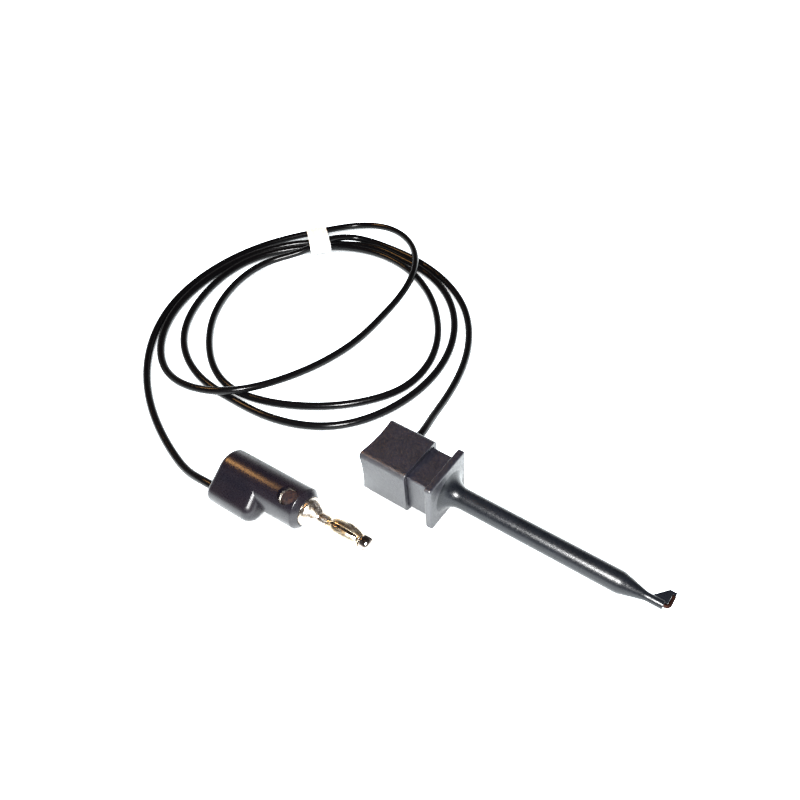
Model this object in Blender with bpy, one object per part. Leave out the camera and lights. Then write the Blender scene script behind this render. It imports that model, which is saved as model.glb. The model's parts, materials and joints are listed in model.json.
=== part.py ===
"""Hook-clip test lead: a stackable 4 mm banana plug, a thin tied lead and a sprung hook clip.

Metres, +Z up, standing on z = 0. The clip lies along X with its hook at +X, its axis CLIP_AXIS_Z above
the surface. The lead leaves the clip's thumb cap at +Y, makes three loops behind it, and ends in the plug,
which lies beside the clip.
"""

import math

import bmesh
import bpy
import numpy as np
from mathutils import Matrix, Vector

MM = 0.001
FIT = 0.04 * MM  # radial gap of a turned piece in its bore
RUN = 0.10 * MM  # gap of a sliding piece on each side
SEAT = 0.30 * MM  # gap between two faces that meet

# The clip: places are counted along X from the back of the thumb cap.
CLIP_BACK = -36.25 * MM
CLIP_AXIS_Z = 7.0 * MM
CAP_WIDTH = 12.9 * MM
CAP_LENGTH = 12.9 * MM
CAP_WALL = 1.1 * MM
CAP_FLOOR = 2.9 * MM
CAP_CORNER = 1.2 * MM
THUMB_RADIUS = 35.0 * MM
THUMB_DEPTH = 1.2 * MM
BOSS_END = 3.9 * MM
BOSS_RADIUS = 2.2 * MM
TRAVEL = 5.0 * MM  # how far the barrel slides back into the cap
BODY_WIDTH = CAP_WIDTH - 2 * CAP_WALL - 2 * RUN
BODY_BACK = 8.7 * MM
FLANGE_BACK = 18.4 * MM
FLANGE_FRONT = 20.2 * MM
FLANGE_WIDTH = 14.0 * MM
FLANGE_ROUND = 0.45 * MM
KEYWAY_DEPTH = 0.35 * MM
KEYWAY_EDGE = 0.3 * MM
NOSE_RADIUS = 2.45 * MM
TRUMPET_RADIUS = 4.2 * MM
CONE_START = 61.9 * MM
CONE_END = 67.3 * MM
TIP_RADIUS = 0.97 * MM
TIP_END = 71.0 * MM
POCKET_RADIUS = 3.5 * MM
POCKET_END = 17.0 * MM
FIN_THICKNESS = 0.9 * MM
HOOK_WIRE = 0.85 * MM
HOOK_FRONT = 72.0 * MM
HOOK_REACH = 2.95 * MM
HOOK_BEND = 0.9 * MM
POST_COLLAR = 7.0 * MM
POST_END = 8.6 * MM
SPRING_WIRE = 0.45 * MM
SPRING_RADIUS = 2.55 * MM
SPRING_TURNS = 6
LEAD_ENTRY = 5.2 * MM  # where the lead enters the cap, from its back

# The lead.
LEAD_DIAMETER = 2.1 * MM
CONDUCTOR = 1.0 * MM
LEAD_SPACING = 12.5 * MM  # between the points of its modelled centre line
LEAD_ENDS = (0.0, 2.8 * MM, 5.6 * MM, 9.5 * MM)  # its first points, closer together in the two entries

# The plug, in its own frame: x along the pin from the shoulder, the lead's block at -y.
PLUG_PLACE = (-39.8 * MM, -20.6 * MM, 4.98 * MM)
PLUG_YAW = math.radians(1.5)
PLUG_ROLL = math.radians(16.0)
HEAD_RADIUS = 4.95 * MM
HEAD_BACK = -24.1 * MM
HEAD_FRONT = -0.25 * MM
HEAD_BEVEL = 2.1 * MM
HEAD_ROUND = 1.3 * MM
BLOCK_OFFSET = 5.8 * MM
BLOCK_RADIUS = 3.1 * MM
BLOCK_FRONT = -10.6 * MM
SOCKET_RADIUS = 2.03 * MM
SOCKET_DEPTH = 14.5 * MM
CROSS_HOLE_X = -4.3 * MM
CROSS_HOLE_RADIUS = 2.25 * MM
CORE_RADIUS = 3.0 * MM
CORE_BACK = -22.6 * MM
SHOULDER_RADIUS = 3.4 * MM
SHOULDER_BACK = -1.0 * MM
NECK_START = 3.4 * MM
NECK_END = 5.6 * MM
NECK_RADIUS = 1.45 * MM
PIN_RADIUS = 1.0 * MM
PIN_HEAD = 14.8 * MM
PIN_HEAD_RADIUS = 1.7 * MM
PIN_END = 17.3 * MM
CAGE_START = 5.8 * MM
CAGE_END = 14.6 * MM
CAGE_BULGE = 2.35 * MM
CAGE_SHEET = 0.3 * MM
CAGE_LEAVES = 4
JOINT_X = -16.0 * MM  # where the conductor is soldered to the plug's core

# The tie, in its own frame: x along the bundle, y across it.
TIE_PLACE = (-111.1 * MM, 64.8 * MM)
TIE_TURN = math.radians(48.0)
TIE_WIDTH = 6.5 * MM
TIE_SHEET = 0.2 * MM
TIE_GAP = 0.08 * MM
TIE_STRANDS = ((6.7, 1.5), (0.0, 1.35), (-3.7, 1.35), (-5.5, 3.4), (-2.8, 3.95))

# The lead's route from the clip to the plug, in millimetres.
ROUTE = (
    (-31.0, 3.9, 7.0), (-31.0, 6.6, 7.0), (-31.0, 9.8, 6.8), (-32.5, 16.8, 5.2), (-34.4, 25.4, 3.3),
    (-40.3, 45.4, 1.3), (-52.2, 62.4, 1.2), (-70.4, 72.5, 1.2), (-91.2, 75.1, 1.3), (-102.3, 72.1, 2.4),
    (-107.0, 65.0, 3.9), (-110.5, 57.0, 3.1), (-117.4, 47.8, 1.7), (-117.3, 28.0, 1.2), (-106.1, 10.6, 1.2),
    (-88.2, 0.3, 1.2), (-68.3, 4.2, 1.2), (-52.0, 17.1, 1.2), (-47.7, 24.8, 1.2), (-47.2, 36.4, 1.2),
    (-56.8, 54.7, 1.1), (-73.4, 67.2, 1.2), (-93.6, 70.2, 1.2), (-111.5, 61.2, 1.6), (-123.9, 45.1, 1.2),
    (-123.2, 24.7, 1.2), (-112.7, 6.9, 1.2), (-94.2, -2.1, 1.2), (-83.8, -2.8, 1.1), (-73.3, -2.6, 1.2),
    (-54.3, 4.8, 1.1), (-44.2, 22.7, 1.2), (-45.1, 43.4, 1.1), (-55.8, 61.0, 1.2), (-73.7, 71.1, 1.1),
    (-84.0, 72.6, 1.2), (-94.4, 72.5, 1.3), (-104.0, 68.9, 1.1), (-113.0, 63.5, 1.5), (-125.6, 47.1, 1.2),
    (-128.0, 26.6, 1.1), (-120.9, 7.1, 1.2), (-104.9, -5.5, 1.5), (-85.3, -3.2, 3.5), (-74.7, 14.1, 1.6),
    (-70.0, 34.5, 1.2), (-70.0, 45.0, 1.6), (-70.5, 55.4, 2.6), (-78.6, 74.3, 3.4), (-96.7, 83.0, 2.2),
    (-106.2, 80.3, 1.3), (-113.1, 72.7, 1.5), (-125.3, 55.7, 1.2), (-130.5, 35.6, 1.2), (-127.6, 15.0, 1.1),
    (-116.6, -2.7, 1.1), (-100.3, -15.9, 1.2), (-81.2, -24.5, 1.3), (-74.0, -26.4, 2.0), (-66.8, -26.9, 3.3),
    (-63.7, -26.8, 3.38), (-60.6, -26.7, 3.38),
)


# Helpers


def material(name, colour, roughness, metallic=0.0):
    made = bpy.data.materials.new(name)
    made.use_nodes = True
    shader = made.node_tree.nodes["Principled BSDF"]
    shader.inputs["Base Color"].default_value = (*colour, 1.0)
    shader.inputs["Roughness"].default_value = roughness
    shader.inputs["Metallic"].default_value = metallic
    return made


def frame_object(name, place, turn=0.0, roll=0.0):
    """An empty whose X axis is a piece's own axis."""
    made = bpy.data.objects.new(name, None)
    made.matrix_world = Matrix.Translation(place) @ Matrix.Rotation(turn, 4, "Z") @ Matrix.Rotation(roll, 4, "X")
    bpy.context.collection.objects.link(made)
    return made


def add_object(name, shape, parent, finish=None):
    """An object from a bmesh, in its parent's frame. One without a finish is a cutter or a tool."""
    bmesh.ops.recalc_face_normals(shape, faces=shape.faces)
    mesh = bpy.data.meshes.new(name)
    shape.to_mesh(mesh)
    shape.free()
    mesh.shade_smooth()
    mesh.set_sharp_from_angle(angle=math.radians(35))
    made = bpy.data.objects.new(name, mesh)
    bpy.context.collection.objects.link(made)
    made.parent = parent
    if finish:
        mesh.materials.append(finish)
    else:
        made.hide_render = True
        made.display_type = "WIRE"
    return made


def boolean(target, name, shape, operation="DIFFERENCE"):
    tool = add_object(f"{target.name}_{name}", shape, target.parent)
    modifier = target.modifiers.new(name, "BOOLEAN")
    modifier.object = tool
    modifier.operation = operation
    modifier.solver = "EXACT"


def block(low, high, round_edges=0.0, long_corner=0.0, segments=3):
    """A box between two corners, its four edges along X rounded by long_corner and the others by round_edges."""
    shape = bmesh.new()
    bmesh.ops.create_cube(shape, size=1.0)
    low, high = Vector(low), Vector(high)
    bmesh.ops.scale(shape, vec=high - low, verts=shape.verts)
    bmesh.ops.translate(shape, vec=(low + high) / 2, verts=shape.verts)
    if long_corner:
        along = [e for e in shape.edges if abs(e.verts[0].co.x - e.verts[1].co.x) > 1e-6]
        bmesh.ops.bevel(shape, geom=along, offset=long_corner, segments=segments, profile=0.5, affect="EDGES")
    if round_edges:
        across = [e for e in shape.edges if len(e.link_faces) == 2 and e.calc_face_angle() > 1.0]
        bmesh.ops.bevel(shape, geom=across, offset=round_edges, segments=2, profile=0.5, affect="EDGES")
    return shape


def turned(profile, steps, axis="X", centre=(0, 0, 0)):
    """A profile of (place along the axis, radius) points, closed, turned about the axis through the centre."""
    shape = bmesh.new()
    points = [shape.verts.new((x, 0, r)) for x, r in profile]
    edges = [shape.edges.new((a, b)) for a, b in zip(points, points[1:] + points[:1])]
    bmesh.ops.spin(
        shape, geom=points + edges, cent=(0, 0, 0), axis=(1, 0, 0), angle=math.tau, steps=steps, use_merge=True
    )
    bmesh.ops.remove_doubles(shape, verts=shape.verts, dist=1e-7)
    bmesh.ops.dissolve_degenerate(shape, edges=shape.edges, dist=1e-7)
    if axis == "Y":
        bmesh.ops.rotate(shape, cent=(0, 0, 0), matrix=Matrix.Rotation(math.pi / 2, 3, "Z"), verts=shape.verts)
    if axis == "Z":
        bmesh.ops.rotate(shape, cent=(0, 0, 0), matrix=Matrix.Rotation(-math.pi / 2, 3, "Y"), verts=shape.verts)
    bmesh.ops.translate(shape, vec=centre, verts=shape.verts)
    return shape


def rod(start, end, radius, steps=24, axis="X", centre=(0, 0, 0)):
    return turned([(start, 0), (start, radius), (end, radius), (end, 0)], steps, axis, centre)


def arc(centre, radius, first, last, count):
    """Points on a circle in the plane of the profile, angles in degrees."""
    angles = [math.radians(first + (last - first) * i / count) for i in range(count + 1)]
    return [(centre[0] + radius * math.cos(a), centre[1] + radius * math.sin(a)) for a in angles]


def wire(name, points, diameter, parent, finish, resolution=2):
    """A round wire as a curve with filled ends."""
    curve = bpy.data.curves.new(name, "CURVE")
    curve.dimensions = "3D"
    curve.bevel_depth = diameter / 2
    curve.bevel_resolution = resolution
    curve.use_fill_caps = True
    spline = curve.splines.new("POLY")
    spline.points.add(len(points) - 1)
    for place, point in zip(spline.points, points):
        place.co = (*point, 1.0)
    spline.use_smooth = True
    curve.materials.append(finish)
    made = bpy.data.objects.new(name, curve)
    bpy.context.collection.objects.link(made)
    made.parent = parent
    return made


def smooth_route(points, spacing, ends):
    """Points on the natural cubic spline through the route's points: at the ends' places from each end,
    and evenly between."""
    knots = np.array(points)
    t = np.concatenate([[0], np.cumsum(np.linalg.norm(np.diff(knots, axis=0), axis=1))])
    h = np.diff(t)
    system = np.eye(len(t))
    slopes = np.zeros_like(knots)
    for i in range(1, len(t) - 1):
        system[i, i - 1 : i + 2] = (h[i - 1], 2 * (h[i - 1] + h[i]), h[i])
        slopes[i] = 6 * ((knots[i + 1] - knots[i]) / h[i] - (knots[i] - knots[i - 1]) / h[i - 1])
    second = np.linalg.solve(system, slopes)
    ends = np.array(ends)
    count = round((t[-1] - 2 * ends[-1]) / spacing) + 1
    at = np.concatenate([ends[:-1], np.linspace(ends[-1], t[-1] - ends[-1], count), t[-1] - ends[-2::-1]])
    k = np.clip(np.searchsorted(t, at, side="right") - 1, 0, len(h) - 1)
    a, b, width = (t[k + 1] - at)[:, None], (at - t[k])[:, None], h[k][:, None]
    curve = (second[k] * a**3 + second[k + 1] * b**3) / (6 * width)
    curve += (knots[k] / width - second[k] * width / 6) * a
    curve += (knots[k + 1] / width - second[k + 1] * width / 6) * b
    return [tuple(p) for p in curve]


# The clip


def thumb_cap(parent, finish):
    half = CAP_WIDTH / 2
    shape = block((0, -half, -half), (CAP_LENGTH, half, half), 0.25 * MM, CAP_CORNER, 4)
    cap = add_object("thumb_cap", shape, parent, finish)
    inner = half - CAP_WALL
    dish = [(-1 * MM, 0), (-1 * MM, 10 * MM)]
    for i in range(7):
        r = 10 * MM * (1 - i / 6)
        dish.append((THUMB_DEPTH - r * r / (2 * THUMB_RADIUS), r))
    boolean(cap, "thumb_rest", turned(dish, 40))
    boolean(cap, "cavity", block((CAP_FLOOR, -inner, -inner), (CAP_LENGTH + MM, inner, inner), 0, 0.4 * MM, 2))
    boolean(cap, "boss", rod(CAP_FLOOR - 0.5 * MM, BOSS_END, BOSS_RADIUS), "UNION")
    boolean(cap, "post_bore", rod(1.9 * MM, BOSS_END + MM, 1.0 * MM + FIT))
    boolean(
        cap, "lead_hole", rod(inner - MM, half + MM, LEAD_DIAMETER / 2 + RUN, 20, "Y", (LEAD_ENTRY, 0, 0))
    )
    return cap


def terminal_post(parent, finish):
    """The turned post in the cap: a press-fit tail, the solder land, and the collar that the spring pushes on."""
    bore = HOOK_WIRE / 2 + FIT
    outline = [
        (2.0 * MM, 0),
        (2.0 * MM, 1.0 * MM),
        (4.1 * MM, 1.0 * MM),
        (4.1 * MM, 1.2 * MM),
        (POST_COLLAR, 1.2 * MM),
        (POST_COLLAR, 3.0 * MM),
        (POST_COLLAR + 0.7 * MM, 3.0 * MM),
        (POST_COLLAR + 0.7 * MM, 1.6 * MM),
        (POST_END, 1.6 * MM),
        (POST_END, bore),
        (3.2 * MM, bore),
        (3.2 * MM, 0),
    ]
    return add_object("terminal_post", turned(outline, 24), parent, finish)


def hook_wire(parent, finish):
    """The contact wire from the post to the hook: straight through the nose, then bent up beside the fin."""
    bend = arc((HOOK_FRONT - HOOK_BEND, HOOK_BEND), HOOK_BEND, -90, 0, 6)
    points = [(x * MM, 0, 0) for x in (3.4, 20.0, 40.0, 60.0)]
    points += [(x, y, 0) for x, y in bend]
    points.append((HOOK_FRONT, HOOK_REACH, 0))
    return wire("hook_wire", points, HOOK_WIRE, parent, finish, 3)


def return_spring(parent, finish):
    start = POST_COLLAR + 0.7 * MM + SPRING_WIRE / 2 + 0.1 * MM
    length = POCKET_END - SPRING_WIRE / 2 - 0.15 * MM - start
    points = []
    for i in range(12 * SPRING_TURNS + 1):
        share = i / (12 * SPRING_TURNS)
        angle = math.tau * SPRING_TURNS * share
        points.append((start + length * share, SPRING_RADIUS * math.cos(angle), SPRING_RADIUS * math.sin(angle)))
    return wire("return_spring", points, SPRING_WIRE, parent, finish, 1)


def barrel(parent, finish):
    """One moulding: the square body, the finger flange, the trumpet, the long nose and the fin at its tip."""
    half = BODY_WIDTH / 2
    shape = block((BODY_BACK, -half, -half), (FLANGE_BACK + 0.6 * MM, half, half), 0, 0.3 * MM, 2)
    made = add_object("barrel", shape, parent, finish)
    wide = FLANGE_WIDTH / 2
    flange = block((FLANGE_BACK, -wide, -wide), (FLANGE_FRONT, wide, wide), FLANGE_ROUND, 0.7 * MM, 3)
    boolean(made, "flange", flange, "UNION")
    start = FLANGE_FRONT - 0.5 * MM
    trumpet = arc(
        (FLANGE_FRONT - 0.05 * MM + TRUMPET_RADIUS, NOSE_RADIUS + TRUMPET_RADIUS), TRUMPET_RADIUS, 180, 270, 7
    )
    nose = [(start, 0), (start, trumpet[0][1]), *trumpet]
    nose += [(CONE_START, NOSE_RADIUS), (CONE_END, TIP_RADIUS), (TIP_END, TIP_RADIUS), (TIP_END, 0)]
    boolean(made, "nose", turned(nose, 28), "UNION")
    boolean(made, "fin", fin_shape(), "UNION")
    top = half - KEYWAY_DEPTH
    keyway = block((BODY_BACK - MM, KEYWAY_EDGE, top), (FLANGE_BACK - 0.01 * MM, half + MM, half + MM))
    boolean(made, "keyway", keyway)
    pocket = [(BODY_BACK - MM, 0), (BODY_BACK - MM, POCKET_RADIUS), (POCKET_END, POCKET_RADIUS)]
    pocket += [(POCKET_END, HOOK_WIRE / 2 + RUN), (TIP_END + MM, HOOK_WIRE / 2 + RUN), (TIP_END + MM, 0)]
    boolean(made, "spring_pocket", turned(pocket, 24))
    slot = LEAD_DIAMETER / 2 + 0.3 * MM
    slot_end = LEAD_ENTRY + LEAD_DIAMETER / 2 + TRAVEL + 0.7 * MM
    boolean(made, "lead_slot", block((BODY_BACK - MM, 2 * MM, -slot), (slot_end, half + MM, slot)))
    return made


def fin_shape():
    """The flat jaw beside the tip: it widens towards the end, with a rebate that the hook's leg closes against."""
    outline = (
        (67.6, -0.4),
        (67.6, 0.5),
        (68.5, 1.0),
        (70.8, 3.75),
        (72.3, 3.75),
        (72.3, 3.2),
        (71.5, 3.1),
        (71.5, 1.2),
        (70.95, 0.9),
        (70.95, -0.4),
    )
    shape = bmesh.new()
    low = [shape.verts.new((x * MM, y * MM, -FIN_THICKNESS / 2)) for x, y in outline]
    face = shape.faces.new(low)
    lifted = bmesh.ops.extrude_face_region(shape, geom=[face])["geom"]
    verts = [v for v in lifted if isinstance(v, bmesh.types.BMVert)]
    bmesh.ops.translate(shape, vec=(0, 0, FIN_THICKNESS), verts=verts)
    return shape


def clip_conductor(parent, copper, solder):
    """The bared end of the lead inside the cap, and the solder that holds it on the post."""
    points = [(LEAD_ENTRY, y * MM, 0) for y in (3.6, 2.6, 1.5)]
    wire("clip_conductor", points, CONDUCTOR, parent, copper)
    hole = CONDUCTOR / 2 + FIT
    cone = [(1.3 * MM, hole), (1.3 * MM, 1.25 * MM), (1.9 * MM, 1.0 * MM), (2.6 * MM, 0.7 * MM), (2.6 * MM, hole)]
    add_object("clip_solder", turned(cone, 16, "Y", (LEAD_ENTRY, 0, 0)), parent, solder)


# The plug


def plug_head(parent, finish):
    """The moulded insulator: a round head with the lead's block blended into its side."""
    edge = HEAD_FRONT - HEAD_BEVEL
    rounding = arc((HEAD_BACK + HEAD_ROUND, HEAD_RADIUS - HEAD_ROUND), HEAD_ROUND, 180, 90, 4)
    outline = [(HEAD_BACK, 0), *rounding, (edge, HEAD_RADIUS), (HEAD_FRONT - 0.15 * MM, HEAD_RADIUS - 0.95 * MM)]
    outline += [(HEAD_FRONT, HEAD_RADIUS - 1.05 * MM), (HEAD_FRONT, 0)]
    head = add_object("plug_head", turned(outline, 40), parent, finish)
    boolean(head, "lead_block", lead_block(), "UNION")
    boolean(head, "core_bore", rod(CORE_BACK - SEAT, 5 * MM, CORE_RADIUS + FIT, 32))
    boolean(head, "shoulder_seat", rod(SHOULDER_BACK - SEAT, 5 * MM, SHOULDER_RADIUS + FIT, 32))
    boolean(head, "socket_mouth", rod(HEAD_BACK - MM, CORE_BACK, SOCKET_RADIUS + 0.3 * MM, 24))
    cross = rod(-8 * MM, 8 * MM, CROSS_HOLE_RADIUS, 28, "Z", (CROSS_HOLE_X, 0, 0))
    boolean(head, "cross_hole", cross)
    bore = rod(HEAD_BACK - MM, JOINT_X + 1.1 * MM, LEAD_DIAMETER / 2 + RUN, 20, "X", (0, -BLOCK_OFFSET, 0))
    boolean(head, "lead_bore", bore)
    passage = rod(-BLOCK_OFFSET, -2 * MM, 1.12 * MM, 20, "Y", (JOINT_X, 0, 0))
    boolean(head, "solder_passage", passage)
    return head


def lead_block():
    """The convex hull of the round head's back half and the smaller round bar that the lead enters."""
    shape = bmesh.new()
    reach = HEAD_RADIUS - 0.02 * MM
    for x, r in ((HEAD_BACK, reach - HEAD_ROUND), (HEAD_BACK + HEAD_ROUND, reach), (BLOCK_FRONT - 2.6 * MM, reach)):
        for i in range(24):
            a = math.tau * i / 24
            shape.verts.new((x, r * math.cos(a), r * math.sin(a)))
    bar = arc((HEAD_BACK + HEAD_ROUND, BLOCK_RADIUS - HEAD_ROUND), HEAD_ROUND, 180, 90, 3)
    bar += arc((BLOCK_FRONT - 2.4 * MM, BLOCK_RADIUS - 2.4 * MM), 2.4 * MM, 90, 0, 4)
    for x, r in bar:
        for i in range(20):
            a = math.tau * i / 20
            shape.verts.new((x, r * math.cos(a) - BLOCK_OFFSET, r * math.sin(a)))
    hull = bmesh.ops.convex_hull(shape, input=shape.verts)
    unused = [v for v in hull["geom_interior"] if isinstance(v, bmesh.types.BMVert)]
    bmesh.ops.delete(shape, geom=unused, context="VERTS")
    return shape


def plug_core(parent, finish):
    """The turned core: the socket at its back for a second plug, the shoulder, and the neck that holds the pin."""
    outline = [
        (CORE_BACK, SOCKET_RADIUS),
        (CORE_BACK, CORE_RADIUS),
        (SHOULDER_BACK, CORE_RADIUS),
        (SHOULDER_BACK, SHOULDER_RADIUS),
        (0.7 * MM, SHOULDER_RADIUS),
        (1.0 * MM, SHOULDER_RADIUS - 0.15 * MM),
        (NECK_START - 0.4 * MM, NECK_RADIUS + 0.35 * MM),
        (NECK_START, NECK_RADIUS),
        (NECK_END, NECK_RADIUS),
        (NECK_END, PIN_RADIUS + FIT),
        (2.5 * MM, PIN_RADIUS + FIT),
        (2.5 * MM, 0),
        (CORE_BACK + SOCKET_DEPTH, 0),
        (CORE_BACK + SOCKET_DEPTH - MM, SOCKET_RADIUS),
    ]
    core = add_object("plug_core", turned(outline, 32), parent, finish)
    boolean(core, "cross_hole", rod(-6 * MM, 6 * MM, SOCKET_RADIUS, 24, "Z", (CROSS_HOLE_X, 0, 0)))
    return core


def plug_pin(parent, finish):
    ball = arc((PIN_END - 1.1 * MM, PIN_HEAD_RADIUS - 1.1 * MM), 1.1 * MM, 90, 0, 4)
    outline = [(2.7 * MM, 0), (2.7 * MM, PIN_RADIUS), (PIN_HEAD, PIN_RADIUS), (PIN_HEAD, PIN_HEAD_RADIUS - 0.2 * MM)]
    outline += [(PIN_HEAD + 0.3 * MM, PIN_HEAD_RADIUS), *ball, (PIN_END, 0)]
    return add_object("plug_pin", turned(outline, 24), parent, finish)


def plug_spring(parent, finish):
    """The lantern spring: a sheet tube, slit into leaves that bow outwards between two closed rings."""
    inner = PIN_RADIUS + 0.07 * MM
    ring = 0.7 * MM
    bow = []
    for i in range(9):
        share = i / 8
        x = CAGE_START + ring + (CAGE_END - CAGE_START - 2 * ring) * share
        lift = math.sin(math.pi * share) ** 0.8
        bow.append((x, inner + (CAGE_BULGE - CAGE_SHEET - inner) * lift))
    inside = [(CAGE_START, inner), *bow, (CAGE_END, inner)]
    outside = [(x, r + CAGE_SHEET) for x, r in reversed(inside)]
    made = add_object("plug_spring", turned(inside + outside, 32), parent, finish)
    middle = (CAGE_START + CAGE_END) / 2
    reach = (CAGE_END - CAGE_START) / 2 - ring
    for i in range(CAGE_LEAVES // 2):
        shape = block((middle - reach, -0.3 * MM, -4 * MM), (middle + reach, 0.3 * MM, 4 * MM))
        turn = Matrix.Rotation(math.radians(45) + math.tau * i / CAGE_LEAVES, 3, "X")
        bmesh.ops.rotate(shape, cent=(0, 0, 0), matrix=turn, verts=shape.verts)
        boolean(made, f"slits_{i}", shape)
    return made


def plug_conductor(parent, copper, solder):
    """The bared end of the lead inside the block, bent in to the core, and its solder."""
    bend = arc((JOINT_X - MM, MM - BLOCK_OFFSET), MM, -90, 0, 4)
    points = [(-20.3 * MM, -BLOCK_OFFSET, 0), (-18.6 * MM, -BLOCK_OFFSET, 0)]
    points += [(x, y, 0) for x, y in bend]
    points.append((JOINT_X, -3.3 * MM, 0))
    wire("plug_conductor", points, CONDUCTOR, parent, copper)
    hole = CONDUCTOR / 2 + FIT
    cone = [(-3.9 * MM, hole), (-3.9 * MM, 0.65 * MM), (-3.12 * MM, 1.0 * MM), (-3.12 * MM, hole)]
    add_object("plug_solder", turned(cone, 16, "Y", (JOINT_X, 0, 0)), parent, solder)


# The lead and its tie


def hull_outline(centres, radius, count):
    """Points of the outline that a taut band takes round circles of one radius, by the way each point faces."""
    outline = []
    for i in range(count):
        a = math.tau * i / count
        facing = Vector((math.cos(a), math.sin(a)))
        outer = max(centres, key=lambda c: Vector(c).dot(facing))
        outline.append(Vector(outer) + facing * radius)
    return outline


def twist_tie(parent, finish):
    """A flat band round the bundle, the knot where its ends are twisted together, and the two spread ends."""
    centres = [(y * MM, z * MM) for y, z in TIE_STRANDS]
    inner = hull_outline(centres, LEAD_DIAMETER / 2 + TIE_GAP, 48)
    outer = hull_outline(centres, LEAD_DIAMETER / 2 + TIE_GAP + TIE_SHEET, 48)
    shape = bmesh.new()
    half = TIE_WIDTH / 2
    rings = [[shape.verts.new((x, *p)) for p in line] for line, x in
             ((inner, -half), (outer, -half), (outer, half), (inner, half))]
    for a, b in zip(rings, rings[1:] + rings[:1]):
        for i in range(len(a)):
            j = (i + 1) % len(a)
            shape.faces.new((a[i], a[j], b[j], b[i]))
    bmesh.ops.remove_doubles(shape, verts=shape.verts, dist=1e-7)
    tie = add_object("twist_tie", shape, parent, finish)
    far = max(y for y, _ in TIE_STRANDS) * MM + LEAD_DIAMETER / 2 + TIE_GAP + TIE_SHEET / 2
    knot = [(far - 0.02 * MM, 0), (far - 0.02 * MM, 0.9 * MM), (far + 1.2 * MM, 0.75 * MM), (far + 2.4 * MM, 0.9 * MM)]
    knot += [(far + 4.2 * MM, 0.8 * MM), (far + 4.2 * MM, 0)]
    boolean(tie, "knot", turned(knot, 12, "Y", (0.6 * MM, 0, 1.6 * MM)), "UNION")
    for name, end_x, end_y, rise in (("end_a", -2.8, 19.4, 5.2), ("end_b", 4.6, 18.8, 5.6)):
        boolean(tie, name, strip((0.6 * MM, far + 3.4 * MM, 1.6 * MM), (end_x * MM, end_y * MM, rise * MM)), "UNION")
    return tie


def strip(start, end):
    """A flat strip that curves up from one point to another."""
    shape = bmesh.new()
    rows = []
    for i in range(6):
        share = i / 5
        x = start[0] + (end[0] - start[0]) * share
        y = start[1] + (end[1] - start[1]) * share
        z = start[2] + (end[2] - start[2]) * share**1.6
        wide = (0.7 + 0.9 * math.sin(share * math.pi / 2)) * MM
        corners = ((-wide, 0), (wide, 0), (wide, 0.35 * MM), (-wide, 0.35 * MM))
        rows.append([shape.verts.new((x + dx, y, z + dz)) for dx, dz in corners])
    for a, b in zip(rows, rows[1:]):
        for i in range(4):
            j = (i + 1) % 4
            shape.faces.new((a[i], a[j], b[j], b[i]))
    shape.faces.new(rows[0])
    shape.faces.new(rows[-1])
    return shape


def main():
    for old in list(bpy.data.objects):
        bpy.data.objects.remove(old, do_unlink=True)
    black_nylon = material("black_nylon", (0.012, 0.012, 0.014), 0.42)
    black_head = material("black_head", (0.012, 0.011, 0.012), 0.38)
    black_pvc = material("black_pvc", (0.008, 0.008, 0.009), 0.28)
    nickel = material("nickel", (0.78, 0.75, 0.70), 0.18, 1.0)
    gilt = material("gilt_bronze", (0.72, 0.52, 0.28), 0.25, 1.0)
    brass = material("brass", (0.75, 0.58, 0.30), 0.3, 1.0)
    steel = material("spring_steel", (0.55, 0.55, 0.56), 0.3, 1.0)
    copper = material("tinned_copper", (0.72, 0.68, 0.62), 0.3, 1.0)
    solder = material("solder", (0.62, 0.62, 0.64), 0.35, 1.0)
    paper = material("white_tie", (0.9, 0.9, 0.88), 0.55)

    clip = frame_object("clip_axis", (CLIP_BACK, 0, CLIP_AXIS_Z))
    thumb_cap(clip, black_nylon)
    terminal_post(clip, brass)
    hook_wire(clip, gilt)
    clip_conductor(clip, copper, solder)
    slide = frame_object("barrel_slide", (CLIP_BACK, 0, CLIP_AXIS_Z))
    barrel(slide, black_nylon)
    return_spring(clip, steel)

    plug = frame_object("plug_axis", PLUG_PLACE, PLUG_YAW, PLUG_ROLL)
    plug_head(plug, black_head)
    plug_core(plug, nickel)
    plug_pin(plug, nickel)
    plug_spring(plug, nickel)
    plug_conductor(plug, copper, solder)

    table = frame_object("table", (0, 0, 0))
    route = smooth_route(np.array(ROUTE) * MM, LEAD_SPACING, LEAD_ENDS)
    wire("lead", route, LEAD_DIAMETER, table, black_pvc)
    twist_tie(frame_object("tie_axis", (*TIE_PLACE, 0), TIE_TURN), paper)


main()
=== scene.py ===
"""Looks of the hook-clip test lead: its fine meshes, its materials, and a bright table under soft light.

Metres, in the CAD frame. The clip lies along X, the lead makes three tied loops behind it, and the plug lies
beside it.
"""

import json
import math

import bmesh
import bpy
import numpy as np
from mathutils import Matrix, Vector, noise

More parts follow.
